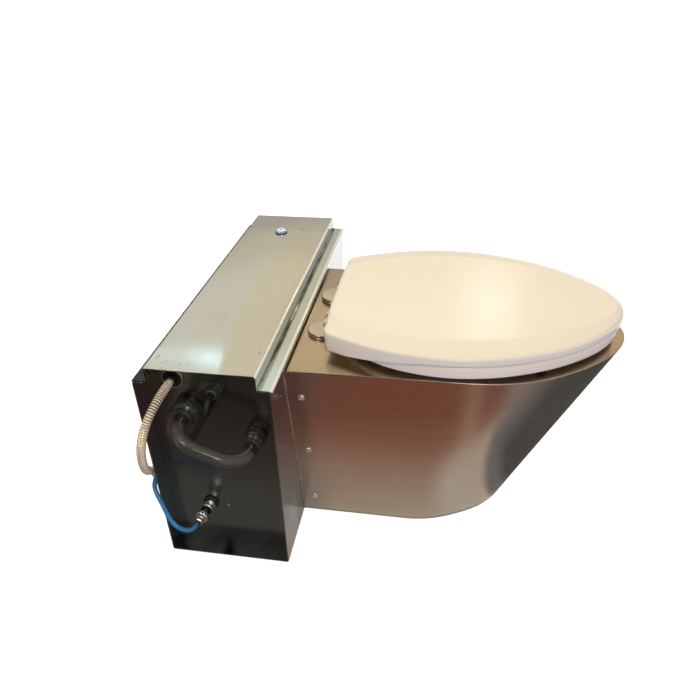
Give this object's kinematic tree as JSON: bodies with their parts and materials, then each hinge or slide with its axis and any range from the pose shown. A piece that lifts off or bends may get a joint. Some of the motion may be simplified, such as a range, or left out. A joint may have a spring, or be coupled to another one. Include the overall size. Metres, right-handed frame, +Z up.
{
  "type": "vacuum toilet",
  "caption": "Floor-standing stainless vacuum toilet: sheet service cabinet with flush button, tapered pan, ivory seat and lid, water, air and power connections on one end.",
  "frame": {"origin": "middle of the footprint on the floor, free hoses and cable left out", "axes": "+Z up, the pan's front towards -Y, the connection end of the cabinet towards -X"},
  "size_m": [0.6914, 0.8123, 0.424],
  "materials": {
    "stainless": "brushed stainless sheet, satin, with fine scratches and warm reflections",
    "panel_steel": "polished stainless end panel, dark half-mirror",
    "bowl_steel": "electropolished stainless",
    "fasteners": "bright stainless fasteners",
    "ivory_plastic": "ivory moulded thermoset, high gloss",
    "hose_rubber": "moulded dark olive-grey rubber, slightly glossy",
    "black_rubber": "black rubber",
    "black_plastic": "black glass-filled polyamide, fine grain",
    "chrome": "nickel-chrome plated fitting",
    "brass": "turned brass",
    "aluminium": "anodised aluminium",
    "corrugated_steel": "ringed stainless hose with warm tint",
    "blue_tube": "blue polyurethane tube",
    "blue_light": "translucent blue ring",
    "white_cap": "white moulded button cap"
  },
  "bodies": {
    "base": {"air_collet": "chrome", "air_coupler": "chrome", "air_nipple": "chrome", "air_regulator": "aluminium", "air_tube": "blue_tube", "air_tube_plug": "chrome", "air_washer": "black_rubber", "booster_tank": "stainless", "bowl": "bowl_steel", "button_gasket": "black_rubber", "button_housing": "black_plastic", "button_light_ring": "blue_light", "button_nut": "black_plastic", "cabinet_cover": "stainless", "cabinet_shell": "stainless", "cable_end_sleeve": "black_plastic", "control_unit": "black_plastic", "cover_screws": "fasteners", "deck_plate": "stainless", "earth_stud": "fasteners", "end_panel_far": "panel_steel", "end_panel_near": "panel_steel", "gland_body": "black_plastic", "gland_nut": "black_plastic", "hinge_discs": "stainless", "hinge_nuts": "fasteners", "hinge_pins": "fasteners", "hinge_posts": "stainless", "hose_ring": "stainless", "panel_locknuts": "black_plastic", "pipe_grommets": "black_rubber", "power_cable": "black_rubber", "rinse_hose": "hose_rubber", "rinse_nozzles": "brass", "shroud": "stainless", "shroud_bolts": "fasteners", "shroud_brackets": "stainless", "tank_saddles": "stainless", "throat_seal": "black_rubber", "union_left_body": "black_plastic", "union_left_nut": "black_plastic", "union_right_body": "black_plastic", "union_right_nut": "black_plastic", "valve_body": "aluminium", "valve_cylinder": "aluminium", "waste_pipe": "bowl_steel", "water_hose": "corrugated_steel", "water_hose_nut": "brass", "water_inlet": "brass", "water_valve": "brass"},
    "seat": {"seat_ring": "ivory_plastic", "seat_bumpers": "black_rubber"},
    "lid": {"seat_lid": "ivory_plastic", "lid_bumpers": "black_rubber"},
    "button": {"button_cap": "white_cap"},
    "gate": {"valve_gate": "bowl_steel", "valve_rod": "bowl_steel"},
    "sleeve": {"air_sleeve": "chrome"}
  },
  "joints": [
    {"name": "seat_hinge", "type": "hinge", "parent": "base", "child": "seat", "pos_m": [-0.0277, 0.098, 0.392], "axis": [1, 0, 0], "range_deg": [-95, 0]},
    {"name": "lid_hinge", "type": "hinge", "parent": "seat", "child": "lid", "pos_m": [-0.0277, 0.098, 0.392], "axis": [-1, 0, 0], "range_deg": [0, 100]},
    {"name": "flush_button", "type": "slide", "parent": "base", "child": "button", "axis": [0, 0, -1], "range_m": [0, 0.0025], "stiffness_N_per_m": 800},
    {"name": "discharge_gate", "type": "slide", "parent": "base", "child": "gate", "axis": [0, -1, 0], "range_m": [0, 0.067]},
    {"name": "air_coupler_sleeve", "type": "slide", "parent": "base", "child": "sleeve", "axis": [-0.9892, 0.1464, 0], "range_m": [0, 0.004], "stiffness_N_per_m": 1500}
  ]
}
